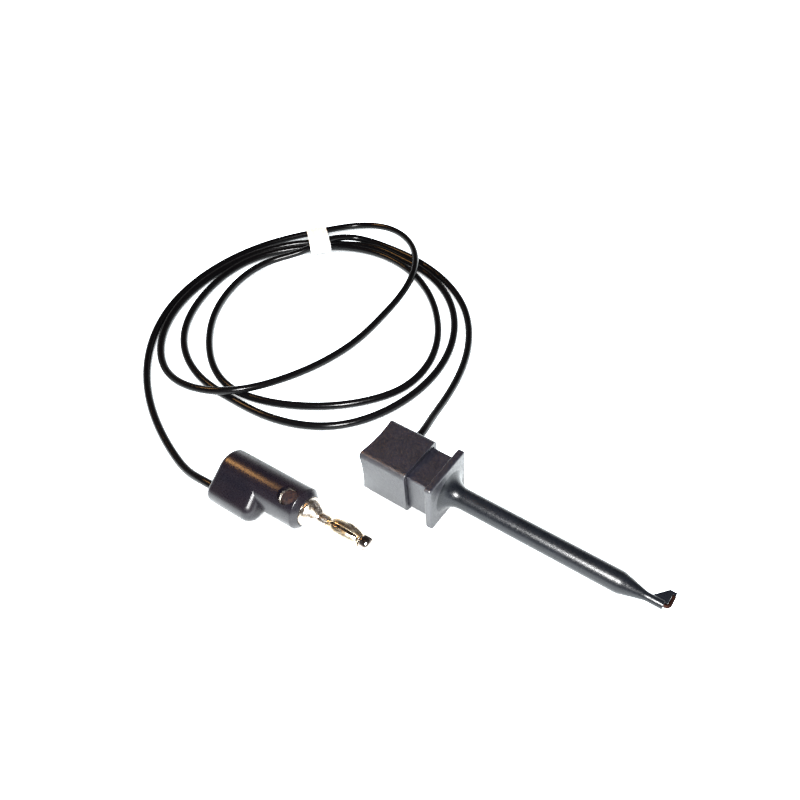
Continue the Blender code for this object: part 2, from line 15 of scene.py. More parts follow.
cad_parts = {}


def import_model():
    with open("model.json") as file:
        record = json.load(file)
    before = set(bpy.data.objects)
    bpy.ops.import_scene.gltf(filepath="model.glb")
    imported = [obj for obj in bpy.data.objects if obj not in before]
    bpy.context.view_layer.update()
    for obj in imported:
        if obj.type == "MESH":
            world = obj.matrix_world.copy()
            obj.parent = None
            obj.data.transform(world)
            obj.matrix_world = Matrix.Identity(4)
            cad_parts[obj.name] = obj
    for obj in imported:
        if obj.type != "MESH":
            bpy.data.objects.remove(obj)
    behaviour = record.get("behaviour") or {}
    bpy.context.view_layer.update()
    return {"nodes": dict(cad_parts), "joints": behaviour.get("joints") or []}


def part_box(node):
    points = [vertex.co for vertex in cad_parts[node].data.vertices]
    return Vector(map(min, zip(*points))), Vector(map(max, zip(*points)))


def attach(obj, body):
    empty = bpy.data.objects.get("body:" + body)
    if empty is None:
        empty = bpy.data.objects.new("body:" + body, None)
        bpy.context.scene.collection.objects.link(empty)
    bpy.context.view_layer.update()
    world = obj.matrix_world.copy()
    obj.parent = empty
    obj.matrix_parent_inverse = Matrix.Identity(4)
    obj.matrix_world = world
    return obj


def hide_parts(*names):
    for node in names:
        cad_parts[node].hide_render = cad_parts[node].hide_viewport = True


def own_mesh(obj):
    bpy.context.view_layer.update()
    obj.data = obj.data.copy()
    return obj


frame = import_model()

MM = 0.001
FIT = 0.04 * MM  # radial gap of a turned piece in its bore
RUN = 0.10 * MM  # gap of a sliding piece on each side
SEAT = 0.3 * MM  # gap between two faces that meet

# Places and sizes that the frame gives.
cap_low, cap_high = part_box("thumb_cap")
barrel_low, barrel_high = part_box("barrel")
spring_low, spring_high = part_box("return_spring")
spin = next(joint for joint in frame["joints"] if joint["name"] == "plug_spring_turn")
CLIP_BACK = cap_low.x
CLIP_AXIS_Z = (cap_low.z + cap_high.z) / 2
CAP_WIDTH = cap_high.y - cap_low.y
CAP_LENGTH = cap_high.x - cap_low.x
FLANGE_WIDTH = barrel_high.y - barrel_low.y

# The lead's route from the clip to the plug, in millimetres, as in the CAD model.
LEAD_DIAMETER = 2.1 * MM
LEAD_STEP = 1.0 * MM
ROUTE = (
    (-31.0, 3.9, 7.0), (-31.0, 6.6, 7.0), (-31.0, 9.8, 6.8), (-32.5, 16.8, 5.2), (-34.4, 25.4, 3.3),
    (-40.3, 45.4, 1.3), (-52.2, 62.4, 1.2), (-70.4, 72.5, 1.2), (-91.2, 75.1, 1.3), (-102.3, 72.1, 2.4),
    (-107.0, 65.0, 3.9), (-110.5, 57.0, 3.1), (-117.4, 47.8, 1.7), (-117.3, 28.0, 1.2), (-106.1, 10.6, 1.2),
    (-88.2, 0.3, 1.2), (-68.3, 4.2, 1.2), (-52.0, 17.1, 1.2), (-47.7, 24.8, 1.2), (-47.2, 36.4, 1.2),
    (-56.8, 54.7, 1.1), (-73.4, 67.2, 1.2), (-93.6, 70.2, 1.2), (-111.5, 61.2, 1.6), (-123.9, 45.1, 1.2),
    (-123.2, 24.7, 1.2), (-112.7, 6.9, 1.2), (-94.2, -2.1, 1.2), (-83.8, -2.8, 1.1), (-73.3, -2.6, 1.2),
    (-54.3, 4.8, 1.1), (-44.2, 22.7, 1.2), (-45.1, 43.4, 1.1), (-55.8, 61.0, 1.2), (-73.7, 71.1, 1.1),
    (-84.0, 72.6, 1.2), (-94.4, 72.5, 1.3), (-104.0, 68.9, 1.1), (-113.0, 63.5, 1.5), (-125.6, 47.1, 1.2),
    (-128.0, 26.6, 1.1), (-120.9, 7.1, 1.2), (-104.9, -5.5, 1.5), (-85.3, -3.2, 3.5), (-74.7, 14.1, 1.6),
    (-70.0, 34.5, 1.2), (-70.0, 45.0, 1.6), (-70.5, 55.4, 2.6), (-78.6, 74.3, 3.4), (-96.7, 83.0, 2.2),
    (-106.2, 80.3, 1.3), (-113.1, 72.7, 1.5), (-125.3, 55.7, 1.2), (-130.5, 35.6, 1.2), (-127.6, 15.0, 1.1),
    (-116.6, -2.7, 1.1), (-100.3, -15.9, 1.2), (-81.2, -24.5, 1.3), (-74.0, -26.4, 2.0), (-66.8, -26.9, 3.3),
    (-63.7, -26.8, 3.38), (-60.6, -26.7, 3.38),
)

# The camera.
CAMERA_PLACE = (0.04014, -0.08033, 0.13886)
CAMERA_AZIMUTH = math.radians(35.55)
CAMERA_ELEVATION = math.radians(46.24)
CAMERA_ROLL = math.radians(-1.92)
CAMERA_LENS = 32.66
CAMERA_SHIFT = -0.0508
CAMERA_SENSOR = 36

# The table and the light.
TABLE_RADIUS = 3.0
TABLE_GLOW = 4.8
TABLE_SHADE_REACH = 20 * MM
TABLE_SHADE_POWER = 1.6
HORIZON = 1.05
ZENITH = 0.05
FLASH_PLACE = (0.030, -0.095, 0.150)
FLASH_AIM = (-0.03, 0.02, 0)
LAMP_PLACE = (-0.40, -0.02, 0.42)
LAMP_AIM = (-0.06, -0.02, 0)
LAMP_COLOUR = (1.0, 0.52, 0.18)


# Helpers


def new_object(name, mesh_or_curve, body, finish, smooth_angle=32):
    made = bpy.data.objects.new(name, mesh_or_curve)
    bpy.context.scene.collection.objects.link(made)
    made.data.materials.clear()
    made.data.materials.append(finish)
    if made.type == "MESH":
        made.data.shade_smooth()
        made.data.set_sharp_from_angle(angle=math.radians(smooth_angle))
    if body:
        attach(made, body)
    return made


def mesh_from(shape, name, place=None):
    """A mesh datablock from a bmesh, moved into place, its normals out."""
    bmesh.ops.remove_doubles(shape, verts=shape.verts, dist=2e-8)
    bmesh.ops.dissolve_degenerate(shape, edges=shape.edges, dist=1e-8)
    loose = [edge for edge in shape.edges if not edge.link_faces]
    bmesh.ops.delete(shape, geom=loose, context="EDGES")
    bmesh.ops.recalc_face_normals(shape, faces=shape.faces)
    if place:
        shape.transform(place)
    mesh = bpy.data.meshes.new(name)
    shape.to_mesh(mesh)
    shape.free()
    return mesh


def carved(mesh, tools):
    """The mesh after exact booleans with other meshes: (operation, mesh) pairs."""
    target = bpy.data.objects.new("target", mesh)
    bpy.context.scene.collection.objects.link(target)
    helpers = []
    for operation, tool_mesh in tools:
        helper = bpy.data.objects.new("tool", tool_mesh)
        bpy.context.scene.collection.objects.link(helper)
        helpers.append(helper)
        modifier = target.modifiers.new("carve", "BOOLEAN")
        modifier.operation = operation
        modifier.object = helper
        modifier.solver = "EXACT"
    graph = bpy.context.evaluated_depsgraph_get()
    result = bpy.data.meshes.new_from_object(target.evaluated_get(graph))
    for old in [target, *helpers]:
        bpy.data.objects.remove(old, do_unlink=True)
    return result


def arc(centre, radius, first, last, count):
    """Points on a circle in the plane of the profile, angles in degrees."""
    angles = [math.radians(first + (last - first) * i / count) for i in range(count + 1)]
    return [(centre[0] + radius * math.cos(a), centre[1] + radius * math.sin(a)) for a in angles]


def softened(profile, radius, count=3):
    """The profile with each inner corner replaced by a short round."""
    result = [profile[0]]
    for before, corner, after in zip(profile, profile[1:], profile[2:]):
        a, c, b = Vector(before), Vector(corner), Vector(after)
        back, ahead = (a - c), (b - c)
        cut = min(radius, back.length * 0.45, ahead.length * 0.45)
        start, end = c + back.normalized() * cut, c + ahead.normalized() * cut
        for i in range(count + 1):
            t = i / count
            result.append(tuple(start * (1 - t) ** 2 + c * 2 * t * (1 - t) + end * t**2))
    return result + [profile[-1]]


def turned(profile, steps=72, axis="X", centre=(0, 0, 0)):
    """A closed profile of (place along the axis, radius) points, turned about the axis."""
    shape = bmesh.new()
    points = [shape.verts.new((x, 0, r)) for x, r in profile]
    edges = [shape.edges.new((a, b)) for a, b in zip(points, points[1:] + points[:1])]
    bmesh.ops.spin(
        shape, geom=points + edges, cent=(0, 0, 0), axis=(1, 0, 0),
        angle=math.tau, steps=steps, use_merge=True,
    )
    bmesh.ops.remove_doubles(shape, verts=shape.verts, dist=1e-7)
    if axis == "Y":
        shape.transform(Matrix.Rotation(math.pi / 2, 4, "Z"))
    if axis == "Z":
        shape.transform(Matrix.Rotation(-math.pi / 2, 4, "Y"))
    bmesh.ops.translate(shape, vec=centre, verts=shape.verts)
    return shape


def rod(start, end, radius, steps=48, axis="X", centre=(0, 0, 0)):
    return turned([(start, 0), (start, radius), (end, radius), (end, 0)], steps, axis, centre)


def block(low, high):
    shape = bmesh.new()
    bmesh.ops.create_cube(shape, size=1.0)
    low, high = Vector(low), Vector(high)
    bmesh.ops.scale(shape, vec=high - low, verts=shape.verts)
    bmesh.ops.translate(shape, vec=(low + high) / 2, verts=shape.verts)
    return shape


def octant_angles():
    """Directions round a square with rounded corners, close together where the corners turn."""
    flats = [math.atan(t) for t in (0.0, 0.03, 0.055, 0.07, 0.12, 0.2, 0.3, 0.4, 0.5, 0.6, 0.7, 0.78)]
    corners = [math.radians(a) for a in (39.1, 39.9, 40.7, 41.5, 42.1, 42.7, 43.3, 43.7, 44.1, 44.55)]
    return flats + corners


def round_angles():
    """All directions of a full turn, from +Y towards +Z."""
    part = octant_angles()
    quarter = part + [math.pi / 4] + [math.pi / 2 - a for a in reversed(part[1:])]
    return [a + math.pi / 2 * i for i in range(4) for a in quarter]


ANGLES = round_angles()


def square_reach(angle, half, corner):
    """How far a square with rounded corners reaches in one direction from its centre."""
    a = abs((angle + math.pi / 4) % (math.pi / 2) - math.pi / 4)
    inner = half - corner
    if half * math.tan(a) <= inner:
        return half / math.cos(a)
    along = inner * (math.cos(a) + math.sin(a))
    across = inner * (math.cos(a) - math.sin(a))
    return along + math.sqrt(max(corner**2 - across**2, 0.0))


def loft(sections):
    """A closed surface through sections round the X axis: each is a single centre point, or a function
    from the angle to a point."""
    shape = bmesh.new()
    rows = []
    for section in sections:
        if callable(section):
            rows.append([shape.verts.new(section(a)) for a in ANGLES])
        else:
            rows.append([shape.verts.new(section)])
    for a, b in zip(rows, rows[1:]):
        for i in range(len(ANGLES)):
            j = (i + 1) % len(ANGLES)
            if len(a) == 1:
                shape.faces.new((a[0], b[i], b[j]))
            elif len(b) == 1:
                shape.faces.new((a[i], b[0], a[j]))
            else:
                shape.faces.new((a[i], b[i], b[j], a[j]))
    return shape


def square_section(x, half, corner):
    def point(angle):
        reach = square_reach(angle, half, min(corner, half))
        return (x, reach * math.cos(angle), reach * math.sin(angle))

    return point


def round_section(x, radius):
    return lambda angle: (x, radius * math.cos(angle), radius * math.sin(angle))


def spline_points(points, step):
    """Points a step apart on the natural cubic spline through the given ones."""
    knots = np.array(points, float)
    t = np.concatenate([[0], np.cumsum(np.linalg.norm(np.diff(knots, axis=0), axis=1))])
    h = np.diff(t)
    system = np.eye(len(t))
    slopes = np.zeros_like(knots)
    for i in range(1, len(t) - 1):
        system[i, i - 1 : i + 2] = (h[i - 1], 2 * (h[i - 1] + h[i]), h[i])
        slopes[i] = 6 * ((knots[i + 1] - knots[i]) / h[i] - (knots[i] - knots[i - 1]) / h[i - 1])
    second = np.linalg.solve(system, slopes)
    at = np.linspace(0, t[-1], round(t[-1] / step) + 1)
    k = np.clip(np.searchsorted(t, at, side="right") - 1, 0, len(h) - 1)
    a, b, width = (t[k + 1] - at)[:, None], (at - t[k])[:, None], h[k][:, None]
    curve = (second[k] * a**3 + second[k + 1] * b**3) / (6 * width)
    curve += (knots[k] / width - second[k] * width / 6) * a
    curve += (knots[k + 1] / width - second[k + 1] * width / 6) * b
    return curve


def wire(name, points, diameter, body, finish):
    """A round wire as a curve with filled ends."""
    curve = bpy.data.curves.new(name, "CURVE")
    curve.dimensions = "3D"
    curve.bevel_depth = diameter / 2
    curve.bevel_resolution = 6
    curve.use_fill_caps = True
    spline = curve.splines.new("POLY")
    spline.points.add(len(points) - 1)
    for place, point in zip(spline.points, points):
        place.co = (*point, 1.0)
    spline.use_smooth = True
    return new_object(name, curve, body, finish)


def tube(points, radius, around=14):
    """A closed round tube swept along points, its ends a little drawn in."""
    shape = bmesh.new()
    points = [Vector(p) for p in points]
    side = None
    rings = []
    for i, point in enumerate(points):
        ahead = (points[min(i + 1, len(points) - 1)] - points[max(i - 1, 0)]).normalized()
        side = ahead.orthogonal() if side is None else side
        side = (side - ahead * side.dot(ahead)).normalized()
        over = ahead.cross(side)
        size = radius * (0.8 if i in (0, len(points) - 1) else 1.0)
        ring = []
        for k in range(around):
            a = math.tau * k / around
            ring.append(shape.verts.new(point + (side * math.cos(a) + over * math.sin(a)) * size))
        rings.append(ring)
    for a, b in zip(rings, rings[1:]):
        for k in range(around):
            shape.faces.new((a[k], a[(k + 1) % around], b[(k + 1) % around], b[k]))
    shape.faces.new(rings[0])
    shape.faces.new(rings[-1])
    return shape


# Materials


def new_material(name, colour, roughness, metallic=0.0, ior=1.5):
    made = bpy.data.materials.new(name)
    made.use_nodes = True
    shader = made.node_tree.nodes["Principled BSDF"]
    shader.inputs["Base Color"].default_value = (*colour, 1.0)
    shader.inputs["Roughness"].default_value = roughness
    shader.inputs["Metallic"].default_value = metallic
    shader.inputs["IOR"].default_value = ior
    return made


def noise_node(made, cells_per_mm, detail, roughness, stretch=(1, 1, 1)):
    nodes, links = made.node_tree.nodes, made.node_tree.links
    place = nodes.new("ShaderNodeTexCoord")
    mapping = nodes.new("ShaderNodeMapping")
    mapping.inputs["Scale"].default_value = stretch
    texture = nodes.new("ShaderNodeTexNoise")
    texture.inputs["Scale"].default_value = cells_per_mm / MM
    texture.inputs["Detail"].default_value = detail
    texture.inputs["Roughness"].default_value = roughness
    links.new(place.outputs["Object"], mapping.inputs["Vector"])
    links.new(mapping.outputs["Vector"], texture.inputs["Vector"])
    return texture


def vary_roughness(made, texture, low, high):
    spread = made.node_tree.nodes.new("ShaderNodeMapRange")
    spread.inputs["From Min"].default_value = 0.3
    spread.inputs["From Max"].default_value = 0.7
    spread.inputs["To Min"].default_value = low
    spread.inputs["To Max"].default_value = high
    shader = made.node_tree.nodes["Principled BSDF"]
    made.node_tree.links.new(texture.outputs["Fac"], spread.inputs["Value"])
    made.node_tree.links.new(spread.outputs["Result"], shader.inputs["Roughness"])


def vary_colour(made, texture, first, second):
    ramp = made.node_tree.nodes.new("ShaderNodeValToRGB")
    ramp.color_ramp.elements[0].position = 0.35
    ramp.color_ramp.elements[0].color = (*first, 1.0)
    ramp.color_ramp.elements[1].position = 0.65
    ramp.color_ramp.elements[1].color = (*second, 1.0)
    shader = made.node_tree.nodes["Principled BSDF"]
    made.node_tree.links.new(texture.outputs["Fac"], ramp.inputs["Fac"])
    made.node_tree.links.new(ramp.outputs["Color"], shader.inputs["Base Color"])


def bump(made, textures):
    """Chains bumps into the normal: (texture, depth in metres) pairs."""
    previous = None
    for texture, depth in textures:
        node = made.node_tree.nodes.new("ShaderNodeBump")
        node.inputs["Strength"].default_value = 1.0
        node.inputs["Distance"].default_value = depth
        made.node_tree.links.new(texture.outputs["Fac"], node.inputs["Height"])
        if previous:
            made.node_tree.links.new(previous.outputs["Normal"], node.inputs["Normal"])
        previous = node
    shader = made.node_tree.nodes["Principled BSDF"]
    made.node_tree.links.new(previous.outputs["Normal"], shader.inputs["Normal"])


def nylon_material():
    """Black glass-filled nylon: a fine spark-eroded grain that scatters what it mirrors."""
    made = new_material("black_nylon_moulding", (0.006, 0.004, 0.009), 0.42, ior=1.68)
    grain = noise_node(made, 5.0, 4.0, 0.6)
    cloud = noise_node(made, 0.35, 3.0, 0.5)
    vary_colour(made, cloud, (0.0012, 0.0011, 0.0036), (0.0026, 0.0024, 0.0062))
    mottle = noise_node(made, 1.7, 5.0, 0.7)
    vary_roughness(made, mottle, 0.30, 0.52)
    bump(made, [(grain, 0.016 * MM), (mottle, 0.075 * MM), (cloud, 0.03 * MM)])
    return made


def nose_material():
    """The same nylon, smoother where the mould was polished."""
    made = new_material("black_nylon_polished", (0.004, 0.005, 0.007), 0.32, ior=1.34)
    grain = noise_node(made, 6.0, 4.0, 0.65)
    cloud = noise_node(made, 0.5, 3.0, 0.5, (0.4, 1, 1))
    vary_colour(made, cloud, (0.0020, 0.0026, 0.0038), (0.0036, 0.0044, 0.0064))
    mottle = noise_node(made, 1.6, 5.0, 0.7)
    vary_roughness(made, mottle, 0.23, 0.38)
    bump(made, [(grain, 0.012 * MM), (mottle, 0.024 * MM), (cloud, 0.02 * MM)])
    return made


def head_material():
    """The plug's moulded head: semi-gloss, with a faint flow pattern."""
    made = new_material("black_head_moulding", (0.004, 0.003, 0.005), 0.3, ior=1.42)
    grain = noise_node(made, 4.0, 4.0, 0.6)
    flow = noise_node(made, 0.3, 4.0, 0.6, (0.35, 1, 1))
    vary_colour(made, flow, (0.0022, 0.0018, 0.0040), (0.0046, 0.0032, 0.0052))
    vary_roughness(made, grain, 0.24, 0.36)
    bump(made, [(grain, 0.008 * MM), (flow, 0.03 * MM)])
    return made


def jacket_material():
    """The lead's extruded PVC: glossy, with a slight unevenness and a little dust."""
    made = new_material("black_pvc_jacket", (0.004, 0.004, 0.004), 0.16, ior=1.22)
    wave = noise_node(made, 0.22, 2.0, 0.5)
    grain = noise_node(made, 3.0, 4.0, 0.6)
    vary_colour(made, grain, (0.0010, 0.0010, 0.0014), (0.0024, 0.0022, 0.0024))
    vary_roughness(made, grain, 0.12, 0.24)
    bump(made, [(wave, 0.05 * MM), (grain, 0.003 * MM)])
    return made


def metal_material(name, light, dark, low, high, cells=1.5, depth=0.004, stretch=(1, 1, 1)):
    """A metal with faint tool marks and slight tarnish."""
    made = new_material(name, light, (low + high) / 2, 1.0)
    marks = noise_node(made, cells, 4.0, 0.6, stretch)
    tarnish = noise_node(made, 0.9, 4.0, 0.6)
    vary_colour(made, tarnish, light, dark)
    vary_roughness(made, marks, low, high)
    bump(made, [(marks, depth * MM)])
    return made


def bore_shade_material():
    """Painted shade inside the core's bore and cross hole: patches from dark blue to brown stand in for the
    shade in these recesses.
    """
    made = new_material("bore_painted_shade", (0.06, 0.035, 0.03), 0.5, 0.6)
    # Painted shade: the patches vary the dark colour inside the recesses.
    shade_patches = noise_node(made, 1.2, 4.0, 0.6)
    vary_colour(made, shade_patches, (0.010, 0.010, 0.020), (0.12, 0.06, 0.045))
    vary_roughness(made, shade_patches, 0.35, 0.6)
    bump(made, [(shade_patches, 0.02 * MM)])
    return made


def tie_material():
    """White plastic-covered paper tie."""
    made = new_material("white_tie_paper", (0.93, 0.93, 0.92), 0.5)
    fibre = noise_node(made, 2.5, 5.0, 0.65, (0.3, 1, 1))
    cloud = noise_node(made, 0.5, 3.0, 0.5)
    vary_colour(made, cloud, (0.90, 0.90, 0.89), (0.96, 0.96, 0.955))
    vary_roughness(made, fibre, 0.42, 0.62)
    bump(made, [(fibre, 0.02 * MM), (cloud, 0.05 * MM)])
    return made


# Camera, table and light


def camera():
    made = bpy.data.objects.new("camera", bpy.data.cameras.new("camera"))
    bpy.context.scene.collection.objects.link(made)
    a, e, r = CAMERA_AZIMUTH, CAMERA_ELEVATION, CAMERA_ROLL
    ahead = Vector((-math.sin(a) * math.cos(e), math.cos(a) * math.cos(e), -math.sin(e)))
    right = Vector((math.cos(a), math.sin(a), 0))
    up = right.cross(ahead)
    right, up = right * math.cos(r) + up * math.sin(r), up * math.cos(r) - right * math.sin(r)
    turn = Matrix((right, up, -ahead)).transposed()
    made.matrix_world = Matrix.Translation(CAMERA_PLACE) @ turn.to_4x4()
    made.data.sensor_width = CAMERA_SENSOR
    made.data.lens = CAMERA_LENS
    made.data.shift_x = CAMERA_SHIFT
    made.data.clip_start = 0.005
    made.data.clip_end = 50
    bpy.context.scene.camera = made


def table():
    """A plain white table that glows; its glow is lowered close to what lies on it, as painted shade, and it
    shows bright in the side faces of what lies on it.
    """
    shape = bmesh.new()
    bmesh.ops.create_circle(shape, cap_ends=True, segments=96, radius=TABLE_RADIUS)
    bmesh.ops.translate(shape, vec=(0, 0, -0.01 * MM), verts=shape.verts)
    finish = new_material("table_white", (0.22, 0.22, 0.22), 0.9)
    nodes, links = finish.node_tree.nodes, finish.node_tree.links
    shader = nodes["Principled BSDF"]
    shader.inputs["Emission Color"].default_value = (0.90, 0.97, 1.0, 1.0)
    # Painted contact shade: the table's glow falls off near the objects.
    contact_shade = nodes.new("ShaderNodeAmbientOcclusion")
    contact_shade.samples = 4
    contact_shade.inputs["Distance"].default_value = TABLE_SHADE_REACH
    deeper = nodes.new("ShaderNodeMath")
    deeper.operation = "POWER"
    deeper.inputs[1].default_value = TABLE_SHADE_POWER
    strength = nodes.new("ShaderNodeMath")
    strength.operation = "MULTIPLY"
    strength.inputs[1].default_value = TABLE_GLOW
    links.new(contact_shade.outputs["AO"], deeper.inputs[0])
    links.new(deeper.outputs["Value"], strength.inputs[0])
    links.new(strength.outputs["Value"], shader.inputs["Emission Strength"])
    made = new_object("table", mesh_from(shape, "table"), None, finish)


def world():
    """Pale at the horizon and dark overhead."""
    made = bpy.data.worlds.new("room")
    made.use_nodes = True
    nodes, links = made.node_tree.nodes, made.node_tree.links
    place = nodes.new("ShaderNodeTexCoord")
    split = nodes.new("ShaderNodeSeparateXYZ")
    ramp = nodes.new("ShaderNodeValToRGB")
    ramp.color_ramp.elements[0].position = 0.16
    ramp.color_ramp.elements[0].color = (HORIZON, HORIZON, HORIZON, 1.0)
    ramp.color_ramp.elements[1].position = 0.42
    ramp.color_ramp.elements[1].color = (ZENITH, ZENITH * 0.86, ZENITH * 0.84, 1.0)
    links.new(place.outputs["Generated"], split.inputs["Vector"])
    links.new(split.outputs["Z"], ramp.inputs["Fac"])
    links.new(ramp.outputs["Color"], nodes["Background"].inputs["Color"])
    bpy.context.scene.world = made


def area_light(name, place, aim, size, power, colour=(1, 1, 1)):
    light = bpy.data.lights.new(name, "AREA")
    light.shape = "DISK"
    light.size = size
    light.energy = power
    light.color = colour
    made = bpy.data.objects.new(name, light)
    bpy.context.scene.collection.objects.link(made)
    made.location = place
    made.rotation_mode = "QUATERNION"
    made.rotation_quaternion = (Vector(aim) - Vector(place)).to_track_quat("-Z", "Y")


# The lead and its tie


def lead(finish):
    points = spline_points(np.array(ROUTE) * MM, LEAD_STEP)
    made = wire("lead_jacket", points, LEAD_DIAMETER, "root", finish)
    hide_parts("lead")
    return made


TIE_PLACE = (-111.1 * MM, 64.8 * MM, 0)
TIE_TURN = math.radians(48.0)
TIE_WIDTH = 6.5 * MM
TIE_SHEET = 0.2 * MM
TIE_GAP = 0.08 * MM
TIE_STRANDS = ((6.7, 1.5), (0.0, 1.35), (-3.7, 1.35), (-5.5, 3.4), (-2.8, 3.95))
TIE_CENTRES = tuple((y * MM, z * MM) for y, z in TIE_STRANDS)
TIE_CORE = 0.28 * MM
RIDGE_PLACE = 0.55  # of half the ribbon's width
RIDGE_SPREAD = 0.32 * MM
TWIST_X = 0.6 * MM
TWIST_Z = 1.6 * MM
TWIST_SWING = 0.36 * MM
TWIST_LENGTH = 4.6 * MM
TWIST_TURNS = 1.5
STRAND_RADIUS = 0.54 * MM
TAIL_START = 3.4 * MM  # from the band
TAIL_ENDS = ((-2.8, 19.4, 5.2), (4.6, 18.8, 5.6))


def tie_ridge(across, half):
    """How much the two wires in the ribbon raise its face, at a place across it."""
    offsets = [(across - side * half * RIDGE_PLACE) / RIDGE_SPREAD for side in (-1, 1)]
    return TIE_CORE * sum(math.exp(-(offset**2)) for offset in offsets)


def tie_band():
    """The flat band round the bundle, its wires showing as two low ridges."""
    steps, columns = 120, 26
    half = TIE_WIDTH / 2
    rows = []
    for x in [half * (2 * i / columns - 1) for i in range(columns + 1)]:
        edge = min(1.0, (half - abs(x)) / (0.15 * MM))
        sheet = TIE_SHEET * (0.6 + 0.4 * edge) + tie_ridge(x, half) * 0.35
        rows.append((x, LEAD_DIAMETER / 2 + TIE_GAP + sheet))
    rows += [(x, LEAD_DIAMETER / 2 + TIE_GAP) for x, _ in reversed(rows)]
    shape = bmesh.new()
    rings = []
    for x, r in rows:
        ring = []
        for i in range(steps):
            facing = Vector((math.cos(math.tau * i / steps), math.sin(math.tau * i / steps)))
            outer = max(TIE_CENTRES, key=lambda centre: Vector(centre).dot(facing))
            point = Vector(outer) + facing * r
            ring.append(shape.verts.new((x, point.x, max(point.y, 0.01 * MM))))
        rings.append(ring)
    for a, b in zip(rings, rings[1:] + rings[:1]):
        for i in range(steps):
            j = (i + 1) % steps
            shape.faces.new((a[i], a[j], b[j], b[i]))
    return shape


def tie_tail(start, end):
    """A free end of the ribbon: flat, thin, slightly twisted, curving up."""
    columns, across = 30, 12
    shape = bmesh.new()
    rows = []
    for i in range(columns + 1):
        share = i / columns
        middle = Vector((
            start[0] + (end[0] - start[0]) * share,
            start[1] + (end[1] - start[1]) * share,
            start[2] + (end[2] - start[2]) * share**1.6,
        ))
        wide = (0.7 + 0.8 * math.sin(share * math.pi / 2)) * MM
        turn = 0.35 * (1 - share)
        top, low = [], []
        for k in range(across + 1):
            u = wide * (2 * k / across - 1)
            bulge = 0.5 * TIE_CORE * math.exp(-((u / (0.3 * MM)) ** 2))
            edge = 0.16 * MM * min(1.0, (wide - abs(u)) / (0.12 * MM) + 0.35)
            lift = u * math.sin(turn)
            top.append(shape.verts.new(middle + Vector((u * math.cos(turn), 0, lift + bulge + edge))))
            low.append(shape.verts.new(middle + Vector((u * math.cos(turn), 0, lift - 0.3 * bulge))))
        rows.append(top + low[::-1])
    for a, b in zip(rows, rows[1:]):
        for i in range(len(a)):
            j = (i + 1) % len(a)
            shape.faces.new((a[i], a[j], b[j], b[i]))
    shape.faces.new(rows[0])
    shape.faces.new(rows[-1])
    return shape


def tie_strand(far, phase):
    """One of the two ends twisted round each other along y."""
    points = []
    for i in range(49):
        share = i / 48
        swing = phase + share * TWIST_TURNS * math.tau
        x, z = TWIST_X + TWIST_SWING * math.cos(swing), TWIST_Z + TWIST_SWING * math.sin(swing)
        points.append((x, far - 0.3 * MM + TWIST_LENGTH * share, z))
    return tube(points, STRAND_RADIUS, 12)


def twist_tie(finish):
    place = Matrix.Translation(TIE_PLACE) @ Matrix.Rotation(TIE_TURN, 4, "Z")
    far = max(y for y, _ in TIE_CENTRES) + LEAD_DIAMETER / 2 + TIE_GAP + TIE_SHEET / 2
    tools = [("UNION", mesh_from(tie_strand(far, phase), "strand")) for phase in (0.0, math.pi)]
    start = (TWIST_X, far + TAIL_START, TWIST_Z)
    for x, y, z in TAIL_ENDS:
        tools.append(("UNION", mesh_from(tie_tail(start, (x * MM, y * MM, z * MM)), "tail")))
    mesh = carved(mesh_from(tie_band(), "twist_tie"), tools)
    mesh.transform(place)
    made = new_object("paper_tie", mesh, "root", finish, 40)
    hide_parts("twist_tie")
    return made


# The clip


CLIP = Matrix.Translation((CLIP_BACK, 0, CLIP_AXIS_Z))
CAP_WALL = 1.1 * MM
CAP_FLOOR = 2.9 * MM
CAP_CORNER = 1.2 * MM
THUMB_RADIUS = 35.0 * MM
THUMB_DEPTH = 1.2 * MM
LEAD_ENTRY = 5.2 * MM  # where the lead enters the cap, from its back
BOSS_END = 3.9 * MM
BOSS_RADIUS = 2.2 * MM
POST_BACK = 1.9 * MM
POST_RADIUS = 1.0 * MM


def dish(y, z):
    """How deep the thumb rest is at a place on the cap's back."""
    return max(0.0, THUMB_DEPTH - (y * y + z * z) / (2 * THUMB_RADIUS))


def cap_section(x, inset, corner, share=1.0):
    """A section of the cap, its share of the way to the outline, following the thumb rest near the back."""
    half = CAP_WIDTH / 2 - inset

    def point(angle):
        reach = square_reach(angle, half, corner) * share
        y, z = reach * math.cos(angle), reach * math.sin(angle)
        follow = max(0.0, 1 - x / (3 * MM))
        return (x + dish(y, z) * follow, y, z)

    return point


def rim_section(x, inset, corner):
    """A section of the front rim, where the moulding left the edge slightly ragged."""
    plain = cap_section(x, inset, corner)

    def point(angle):
        _, y, z = plain(angle)
        wobble = noise.noise(Vector((y, z, x)) * 900.0) * 0.05 * MM
        return (x + wobble, y, z)

    return point


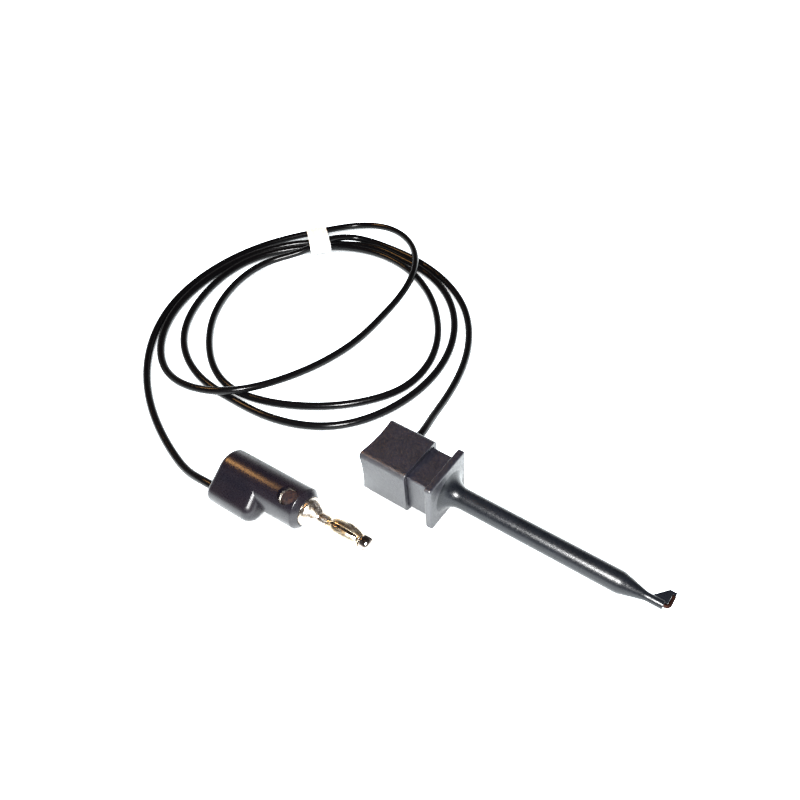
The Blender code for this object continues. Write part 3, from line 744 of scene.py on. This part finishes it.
def thumb_cap(finish):
    edge = 0.3 * MM
    lip = 0.12 * MM
    inner = CAP_CORNER - CAP_WALL + 0.3 * MM
    sections = [(dish(0, 0), 0, 0)]
    sections += [cap_section(0, edge, CAP_CORNER - edge, share / 10) for share in range(1, 10)]
    for x, inset in arc((edge, edge), edge, 180, 270, 5):
        sections.append(cap_section(x, inset, CAP_CORNER - inset))
    sections += [cap_section(x * MM, 0, CAP_CORNER) for x in (1, 2, 3, 5, 8, 11, 12.4)]
    for x, inset in arc((CAP_LENGTH - lip, lip), lip, 270, 360, 3):
        sections.append(rim_section(x, inset, CAP_CORNER - inset))
    sections.append(rim_section(CAP_LENGTH, CAP_WALL - lip, inner + lip))
    sections.append(cap_section(CAP_LENGTH - lip, CAP_WALL, inner))
    sections += [cap_section(x * MM, CAP_WALL, inner) for x in (9, 6)]
    sections.append(cap_section(CAP_FLOOR + 0.2 * MM, CAP_WALL, inner))
    sections.append(cap_section(CAP_FLOOR, CAP_WALL + 0.2 * MM, inner))
    sections.append((CAP_FLOOR, 0, 0))
    shell = mesh_from(loft(sections), "thumb_cap")
    half = CAP_WIDTH / 2
    hole = mesh_from(
        rod(half - CAP_WALL - MM, half + MM, LEAD_DIAMETER / 2 + RUN, 48, "Y", (LEAD_ENTRY, 0, 0)), "hole"
    )
    boss = mesh_from(rod(CAP_FLOOR - 0.5 * MM, BOSS_END, BOSS_RADIUS), "boss")
    bore = mesh_from(rod(POST_BACK, 5 * MM, POST_RADIUS + FIT), "bore")
    mesh = carved(shell, [("UNION", boss), ("DIFFERENCE", bore), ("DIFFERENCE", hole)])
    mesh.transform(CLIP)
    made = new_object("thumb_cap_shell", mesh, "root", finish)
    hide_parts("thumb_cap")


BODY_HALF = CAP_WIDTH / 2 - CAP_WALL - RUN
BODY_BACK = 8.7 * MM
BODY_CORNER = 0.3 * MM
FLANGE_BACK = 18.4 * MM
FLANGE_FRONT = 20.2 * MM
FLANGE_ROUND = 0.45 * MM
FLANGE_CORNER = 0.7 * MM
KEYWAY_DEPTH = 0.35 * MM
KEYWAY_EDGE = 0.3 * MM
NOSE_RADIUS = 2.45 * MM
TRUMPET_RADIUS = 4.05 * MM
CONE_START = 61.9 * MM
CONE_END = 67.3 * MM
TIP_RADIUS = 0.97 * MM
TIP_END = 71.0 * MM
POCKET_RADIUS = 3.5 * MM
POCKET_END = 17.0 * MM
SLOT_END = LEAD_ENTRY + LEAD_DIAMETER / 2 + 5.7 * MM
FIN_OUTLINE = (
    (67.6, -0.4), (67.6, 0.5), (68.5, 1.0), (70.8, 3.75), (72.3, 3.75),
    (72.3, 3.05), (71.56, 3.0), (71.56, 0.9), (71.43, 0.58), (71.12, 0.45), (70.95, 0.44), (70.95, -0.4),
)
FIN_THICKNESS = 0.9 * MM
FIN_EDGE = 0.04 * MM
HOOK_WIRE = 0.85 * MM
HOOK_FRONT = 72.0 * MM
HOOK_BEND = 0.9 * MM
HOOK_REACH = 2.95 * MM
SPRING_WIRE = 0.45 * MM
SPRING_RADIUS = 2.55 * MM
SPRING_TURNS = 6


def body_section(x, inset=0.0):
    """A section of the barrel's square body, its top lowered on the far side of the keyway's edge."""
    plain = square_section(x, BODY_HALF - inset, BODY_CORNER)
    top = BODY_HALF - KEYWAY_DEPTH

    def point(angle):
        _, y, z = plain(angle)
        return (x, y, min(z, top) if y > KEYWAY_EDGE else z)

    return point


def barrel(finish, nose_finish):
    wide = FLANGE_WIDTH / 2
    sections = [(BODY_BACK, 0, 0), body_section(BODY_BACK, 0.15 * MM), body_section(BODY_BACK + 0.15 * MM)]
    sections += [body_section(x * MM) for x in (10, 12, 14, 16, 18)]
    sections.append(body_section(FLANGE_BACK - 0.12 * MM))
    sections.append(square_section(FLANGE_BACK, BODY_HALF + 0.12 * MM, 0.4 * MM))
    for x, inset in arc((FLANGE_BACK + FLANGE_ROUND, FLANGE_ROUND), FLANGE_ROUND, 180, 270, 6):
        sections.append(square_section(x, wide - inset, FLANGE_CORNER - inset * 0.5))
    for x, inset in arc((FLANGE_FRONT - FLANGE_ROUND, FLANGE_ROUND), FLANGE_ROUND, 270, 360, 6):
        sections.append(square_section(x, wide - inset, FLANGE_CORNER - inset * 0.5))
    trumpet_x = FLANGE_FRONT + TRUMPET_RADIUS
    for x, r in arc((trumpet_x, NOSE_RADIUS + TRUMPET_RADIUS), TRUMPET_RADIUS, 180, 270, 14):
        sections.append(round_section(x, r))
    nose = [
        (trumpet_x, NOSE_RADIUS), (CONE_START, NOSE_RADIUS), (CONE_END, TIP_RADIUS), (TIP_END, TIP_RADIUS),
    ]
    sections += [round_section(x, r) for x, r in softened(nose, 0.7 * MM, 5)[1:-1]]
    hole = HOOK_WIRE / 2 + RUN
    end = [
        (TIP_END - 0.1 * MM, TIP_RADIUS), (TIP_END, TIP_RADIUS - 0.1 * MM),
        (TIP_END, hole), (TIP_END - 3 * MM, hole),
    ]
    sections += [round_section(x, r) for x, r in end]
    sections.append((TIP_END - 3 * MM, 0, 0))
    pocket = mesh_from(rod(BODY_BACK - MM, POCKET_END, POCKET_RADIUS), "pocket")
    slot = LEAD_DIAMETER / 2 + SEAT
    notch = mesh_from(block((BODY_BACK - MM, 2 * MM, -slot), (SLOT_END, BODY_HALF + MM, slot)), "notch")
    wire_bore = mesh_from(rod(POCKET_END - MM, TIP_END - 2 * MM, hole), "wire_bore")
    tools = [("DIFFERENCE", pocket), ("DIFFERENCE", notch), ("DIFFERENCE", wire_bore), ("UNION", fin())]
    mesh = carved(mesh_from(loft(sections), "barrel"), tools)
    mesh.materials.clear()
    mesh.transform(CLIP)
    made = new_object("hook_barrel", mesh, "barrel", finish)
    made.data.materials.append(nose_finish)
    for face in made.data.polygons:
        face.material_index = int(face.center.x > CLIP_BACK + FLANGE_FRONT + 0.2 * MM)
    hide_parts("barrel")


def fin():
    """The flat jaw beside the tip, its inner corner following the hook's bend."""
    shape = bmesh.new()
    low = [shape.verts.new((x * MM, y * MM, -FIN_THICKNESS / 2)) for x, y in FIN_OUTLINE]
    face = shape.faces.new(low)
    lifted = bmesh.ops.extrude_face_region(shape, geom=[face])["geom"]
    verts = [v for v in lifted if isinstance(v, bmesh.types.BMVert)]
    bmesh.ops.translate(shape, vec=(0, 0, FIN_THICKNESS), verts=verts)
    bmesh.ops.recalc_face_normals(shape, faces=shape.faces)
    rim = [e for e in shape.edges if abs(e.verts[0].co.z - e.verts[1].co.z) < 1e-7]
    bmesh.ops.bevel(shape, geom=rim, offset=FIN_EDGE, segments=2, profile=0.5, affect="EDGES")
    return mesh_from(shape, "fin")


def hook_wire(finish):
    bend = arc((HOOK_FRONT - HOOK_BEND, HOOK_BEND), HOOK_BEND, -90, 0, 14)
    points = [(x * MM, 0, 0) for x in (3.4, 20, 40, 60, 69)]
    points += [(x, y, 0) for x, y in bend]
    points += [(HOOK_FRONT, 2.85 * MM, 0), (HOOK_FRONT, HOOK_REACH, 0)]
    points = [CLIP @ Vector(p) for p in points]
    made = wire("hook_contact", points, HOOK_WIRE, "root", finish)
    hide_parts("hook_wire")


def return_spring(finish):
    """The coil between the post's collar and the pocket's bottom. It shortens as the barrel slides back."""
    start, end = spring_low.x + SPRING_WIRE / 2, spring_high.x - SPRING_WIRE / 2
    steps = 36 * SPRING_TURNS
    points = []
    for i in range(steps + 1):
        swing = math.tau * SPRING_TURNS * i / steps
        y, z = SPRING_RADIUS * math.cos(swing), CLIP_AXIS_Z + SPRING_RADIUS * math.sin(swing)
        points.append((start + (end - start) * i / steps, y, z))
    mesh = mesh_from(tube(points, SPRING_WIRE / 2), "coil")
    made = new_object("coil_spring", mesh, "root", finish)
    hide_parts("return_spring")
    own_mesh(made)


# The plug, in its own frame: x along the pin from the shoulder, the lead's block at -y.


PIN_FROM_SHOULDER = 10.0 * MM  # where the record's joint point lies
PLUG_ROLL = math.radians(16.0)
PIN_AXIS = Vector(spin["axis"]).normalized()
PLUG = (
    Matrix.Translation(Vector(spin["pos_m"]) - PIN_AXIS * PIN_FROM_SHOULDER)
    @ Matrix.Rotation(math.atan2(PIN_AXIS.y, PIN_AXIS.x), 4, "Z")
    @ Matrix.Rotation(PLUG_ROLL, 4, "X")
)
HEAD_RADIUS = 4.95 * MM
HEAD_BACK = -24.1 * MM
HEAD_FRONT = -0.25 * MM
HEAD_BEVEL = 1.2 * MM
HEAD_NARROWING = 1.25 * MM  # of the radius, over the bevel
HEAD_ROUND = 1.3 * MM
BLOCK_OFFSET = 5.8 * MM
BLOCK_RADIUS = 3.1 * MM
BLOCK_FRONT = -10.6 * MM
BLOCK_ROUND = 2.4 * MM
SOCKET_RADIUS = 2.03 * MM
SOCKET_DEPTH = 14.5 * MM
CROSS_HOLE_X = -4.3 * MM
CROSS_HOLE_RADIUS = 2.25 * MM
CORE_RADIUS = 3.0 * MM
CORE_BACK = -22.6 * MM
SHOULDER_RADIUS = 3.4 * MM
SHOULDER_BACK = -1.0 * MM
NECK_START = 3.4 * MM
NECK_END = 5.6 * MM
NECK_RADIUS = 1.45 * MM
PIN_SEAT = 2.5 * MM
PIN_BACK = 2.7 * MM
PIN_RADIUS = 1.0 * MM
PIN_HEAD = 14.8 * MM
PIN_HEAD_RADIUS = 1.7 * MM
PIN_END = 17.3 * MM
PIN_ROUND = 1.1 * MM
CAGE_START = 5.8 * MM
CAGE_END = 14.6 * MM
CAGE_BULGE = 2.35 * MM
CAGE_SHEET = 0.3 * MM
CAGE_LEAVES = 4
CAGE_RING = 0.7 * MM
CAGE_GAP = 0.07 * MM
CAGE_FLARE = 0.25 * MM  # how much wider the front ring is
SLIT_HALF = 0.3 * MM
SLIT_END = 0.5 * MM
JOINT_X = -16.0 * MM  # where the conductor is soldered to the core
PASSAGE_RADIUS = 1.12 * MM


def hull_of(rings):
    """The convex hull of circles: (x, y of the centre, radius, points in it)."""
    shape = bmesh.new()
    for x, y, r, count in rings:
        for i in range(count):
            a = math.tau * i / count
            shape.verts.new((x, y + r * math.cos(a), r * math.sin(a)))
    hull = bmesh.ops.convex_hull(shape, input=shape.verts)
    unused = [v for v in hull["geom_interior"] if isinstance(v, bmesh.types.BMVert)]
    bmesh.ops.delete(shape, geom=unused, context="VERTS")
    return shape


def lead_block():
    """The web from the round head to the smaller round bar that the lead enters."""
    inset = 0.02 * MM
    reach = HEAD_RADIUS - inset
    back = arc((HEAD_BACK + HEAD_ROUND, HEAD_RADIUS - HEAD_ROUND), HEAD_ROUND, 180, 90, 6)
    front = arc((BLOCK_FRONT - 2.9 * MM, reach - BLOCK_ROUND), BLOCK_ROUND, 90, 15, 10)
    bar = arc((HEAD_BACK + HEAD_ROUND, BLOCK_RADIUS - HEAD_ROUND), HEAD_ROUND, 180, 90, 6)
    bar += arc((BLOCK_FRONT - BLOCK_ROUND, BLOCK_RADIUS - BLOCK_ROUND), BLOCK_ROUND, 90, 0, 12)
    rings = [(x, 0, r - inset, 64) for x, r in back]
    rings += [(x, 0, r, 64) for x, r in front]
    rings += [(x, -BLOCK_OFFSET, max(r, inset), 56) for x, r in bar]
    return hull_of(rings)


def plug_head(finish):
    edge = HEAD_FRONT - HEAD_BEVEL
    mouth = SOCKET_RADIUS + 0.3 * MM
    rounding = arc((HEAD_BACK + HEAD_ROUND, HEAD_RADIUS - HEAD_ROUND), HEAD_ROUND, 180, 90, 8)
    front = [
        (edge - 0.5 * MM, HEAD_RADIUS), (edge, HEAD_RADIUS), (HEAD_FRONT, HEAD_RADIUS - HEAD_NARROWING),
        (HEAD_FRONT, HEAD_RADIUS - 1.4 * MM),
    ]
    bore = [
        (HEAD_FRONT, SHOULDER_RADIUS + FIT), (SHOULDER_BACK - SEAT, SHOULDER_RADIUS + FIT),
        (SHOULDER_BACK - SEAT, CORE_RADIUS + FIT), (CORE_BACK - SEAT, CORE_RADIUS + FIT),
        (CORE_BACK - SEAT, mouth),
    ]
    outline = [(HEAD_BACK, mouth), *rounding, *softened(front, 0.12 * MM, 3), *bore]
    inside = mesh_from(rod(-30 * MM, 0, 3.9 * MM, 64), "inside")
    web = carved(mesh_from(lead_block(), "web"), [("DIFFERENCE", inside)])
    cuts = [
        cross_hole(),
        rod(HEAD_BACK - MM, JOINT_X + 1.1 * MM, LEAD_DIAMETER / 2 + RUN, 40, "X", (0, -BLOCK_OFFSET, 0)),
        rod(-BLOCK_OFFSET, -2 * MM, PASSAGE_RADIUS, 32, "Y", (JOINT_X, 0, 0)),
    ]
    tools = [("UNION", web)] + [("DIFFERENCE", mesh_from(cut, "tool")) for cut in cuts]
    mesh = carved(mesh_from(turned(outline, 96), "plug_head"), tools)
    mesh.transform(PLUG)
    made = new_object("plug_moulding", mesh, "root", finish, 24)
    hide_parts("plug_head")
    return made


def cross_hole():
    """The cutter of the hole through the head, its mouth slightly wider where it leaves the surface."""
    reach = 8 * MM
    wide = CROSS_HOLE_RADIUS + 0.12 * MM
    mouth = [(HEAD_RADIUS - 0.35 * MM, CROSS_HOLE_RADIUS), (HEAD_RADIUS + 0.05 * MM, wide)]
    half = [(0, CROSS_HOLE_RADIUS), *mouth, (reach, wide), (reach, 0)]
    outline = [(-x, r) for x, r in reversed(half[1:])] + half
    return turned(outline, 64, "Z", (CROSS_HOLE_X, 0, 0))


def plug_core(finish, bore_shade_finish):
    """The turned core, with painted shade inside its bore and cross hole."""
    front = [
        (SHOULDER_BACK, SHOULDER_RADIUS), (0.7 * MM, SHOULDER_RADIUS),
        (1.0 * MM, SHOULDER_RADIUS - 0.15 * MM), (NECK_START - 0.4 * MM, NECK_RADIUS + 0.35 * MM),
        (NECK_START, NECK_RADIUS), (NECK_END, NECK_RADIUS), (NECK_END, PIN_RADIUS + FIT),
    ]
    outline = [(CORE_BACK, SOCKET_RADIUS), (CORE_BACK, CORE_RADIUS), (SHOULDER_BACK, CORE_RADIUS)]
    outline += softened(front, 0.12 * MM, 3)
    outline += [
        (PIN_SEAT, PIN_RADIUS + FIT), (PIN_SEAT, 0), (CORE_BACK + SOCKET_DEPTH, 0),
        (CORE_BACK + SOCKET_DEPTH - MM, SOCKET_RADIUS),
    ]
    hole = mesh_from(rod(-6 * MM, 6 * MM, SOCKET_RADIUS, 64, "Z", (CROSS_HOLE_X, 0, 0)), "hole")
    mesh = carved(mesh_from(turned(outline, 96), "plug_core"), [("DIFFERENCE", hole)])
    centres = [face.center.copy() for face in mesh.polygons]
    # Faces inside the bore and cross hole, which take the painted shade.
    inside = [math.hypot(at.y, at.z) < CORE_RADIUS - 0.06 * MM and at.x < -MM for at in centres]
    mesh.transform(PLUG)
    made = new_object("plug_contact_core", mesh, "root", finish, 24)
    made.data.materials.append(bore_shade_finish)
    made.data.polygons.foreach_set("material_index", [int(dull) for dull in inside])
    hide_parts("plug_core")
    return made


def plug_pin(finish):
    ball = arc((PIN_END - PIN_ROUND, PIN_HEAD_RADIUS - PIN_ROUND), PIN_ROUND, 90, 0, 12)
    front = [
        (PIN_HEAD, PIN_RADIUS), (PIN_HEAD, PIN_HEAD_RADIUS - 0.2 * MM),
        (PIN_HEAD + 0.3 * MM, PIN_HEAD_RADIUS), ball[0],
    ]
    outline = [(PIN_BACK, 0), (PIN_BACK, PIN_RADIUS), *softened(front, 0.1 * MM, 3), *ball[1:], (PIN_END, 0)]
    mesh = mesh_from(turned(outline, 72), "plug_pin", PLUG)
    made = new_object("plug_centre_pin", mesh, "root", finish)
    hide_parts("plug_pin")
    return made


def cage_radius(x):
    """The middle of the spring's sheet at a place along the pin."""
    along = min(1.0, max(0.0, (x - CAGE_START) / (CAGE_END - CAGE_START)))
    inner = PIN_RADIUS + CAGE_GAP + CAGE_SHEET / 2 + CAGE_FLARE * along**2
    share = (x - CAGE_START - CAGE_RING) / (CAGE_END - CAGE_START - 2 * CAGE_RING)
    lift = math.sin(math.pi * share**0.9) ** 0.6 if 0 < share < 1 else 0.0
    return inner + (CAGE_BULGE - CAGE_SHEET / 2 - inner) * lift


def plug_spring(finish):
    """The lantern spring: two rings joined by bowed leaves, from one slit tube of sheet."""
    columns, around = 56, 96
    places = [CAGE_START + (CAGE_END - CAGE_START) * i / columns for i in range(columns + 1)]
    per_leaf = around // CAGE_LEAVES
    shape = bmesh.new()
    grid = []
    for x in places:
        r = cage_radius(x)
        open_share = min(1.0, max(0.0, (x - CAGE_START - CAGE_RING) / SLIT_END))
        open_share = min(open_share, max(0.0, (CAGE_END - CAGE_RING - x) / SLIT_END))
        half_slit = SLIT_HALF * math.sqrt(open_share) / r
        row = []
        for leaf in range(CAGE_LEAVES):
            first = math.tau * leaf / CAGE_LEAVES + half_slit
            span = math.tau / CAGE_LEAVES - 2 * half_slit
            angles = [first + span * k / per_leaf for k in range(per_leaf + 1)]
            row.append([shape.verts.new((x, r * math.cos(a), r * math.sin(a))) for a in angles])
        grid.append(row)
    for a, b in zip(grid, grid[1:]):
        for leaf in range(CAGE_LEAVES):
            for k in range(per_leaf):
                shape.faces.new((a[leaf][k], a[leaf][k + 1], b[leaf][k + 1], b[leaf][k]))
    bmesh.ops.remove_doubles(shape, verts=shape.verts, dist=1e-7)
    bmesh.ops.recalc_face_normals(shape, faces=shape.faces)
    mesh = bpy.data.meshes.new("plug_spring")
    shape.transform(PLUG)
    shape.to_mesh(mesh)
    shape.free()
    made = new_object("lantern_spring", mesh, "plug_spring", finish)
    sheet = made.modifiers.new("sheet", "SOLIDIFY")
    sheet.thickness = CAGE_SHEET
    sheet.offset = 0
    edges = made.modifiers.new("edges", "BEVEL")
    edges.width = 0.05 * MM
    edges.segments = 2
    edges.limit_method = "ANGLE"
    edges.angle_limit = math.radians(40)
    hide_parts("plug_spring")
    return made


camera()
black_pvc = jacket_material()
lead_piece = lead(black_pvc)

nylon = nylon_material()
nose = nose_material()
head = head_material()
nickel = metal_material(
    "nickel_plate", (0.97, 0.93, 0.86), (0.50, 0.38, 0.26), 0.16, 0.34, 1.6, 0.05, (0.3, 1, 1)
)
# Painted shade: the pin's plating is a darker copy of the nickel, standing in for the dark surroundings it
# mirrors.
pin_plate_painted_shade = metal_material("pin_plate_painted_shade", (0.42, 0.37, 0.33), (0.20, 0.16, 0.14), 0.12, 0.22, 1.6, 0.03)
# Painted reflection: the spring's plating is tinted warm, standing in for the warm light it mirrors.
spring_plate_painted_warmth = metal_material(
    "spring_plate_painted_warmth", (1.0, 0.93, 0.76), (0.55, 0.38, 0.20), 0.16, 0.34, 1.4, 0.05, (0.3, 1, 1)
)
# Painted shade: the gilt wire's base colour is near black, so that it shows only a dim highlight.
gilt_painted_shade = metal_material("gilt_wire_painted_shade", (0.034, 0.013, 0.009), (0.016, 0.008, 0.007), 0.5, 0.68)
thumb_cap(nylon)
barrel(nylon, nose)
hook_wire(gilt_painted_shade)
steel = metal_material("spring_steel", (0.55, 0.55, 0.57), (0.38, 0.36, 0.34), 0.2, 0.34, 2.0, 0.01)
brass = metal_material("brass_post", (0.75, 0.58, 0.30), (0.60, 0.42, 0.20), 0.22, 0.36, 2.0, 0.01)
tin = metal_material(
    "tinned_strands", (0.72, 0.69, 0.64), (0.55, 0.50, 0.45), 0.25, 0.4, 3.0, 0.02, (0.2, 1, 1)
)
solder = metal_material("solder", (0.62, 0.62, 0.64), (0.48, 0.48, 0.50), 0.28, 0.45, 1.2, 0.04)
plug_parts = [
    plug_head(head), plug_core(nickel, bore_shade_material()), plug_pin(pin_plate_painted_shade), plug_spring(spring_plate_painted_warmth),
]
tie_piece = twist_tie(tie_material())
return_spring(steel)
inner_finishes = {
    "terminal_post": brass, "clip_conductor": tin, "plug_conductor": tin,
    "clip_solder": solder, "plug_solder": solder,
}
for node, finish in inner_finishes.items():
    frame["nodes"][node].data.materials.clear()
    frame["nodes"][node].data.materials.append(finish)

bpy.context.scene.view_settings.view_transform = "Standard"
table()
world()
area_light("flash", FLASH_PLACE, FLASH_AIM, 0.055, 1.6)
area_light("room_lamp", LAMP_PLACE, LAMP_AIM, 0.12, 1.2, LAMP_COLOUR)
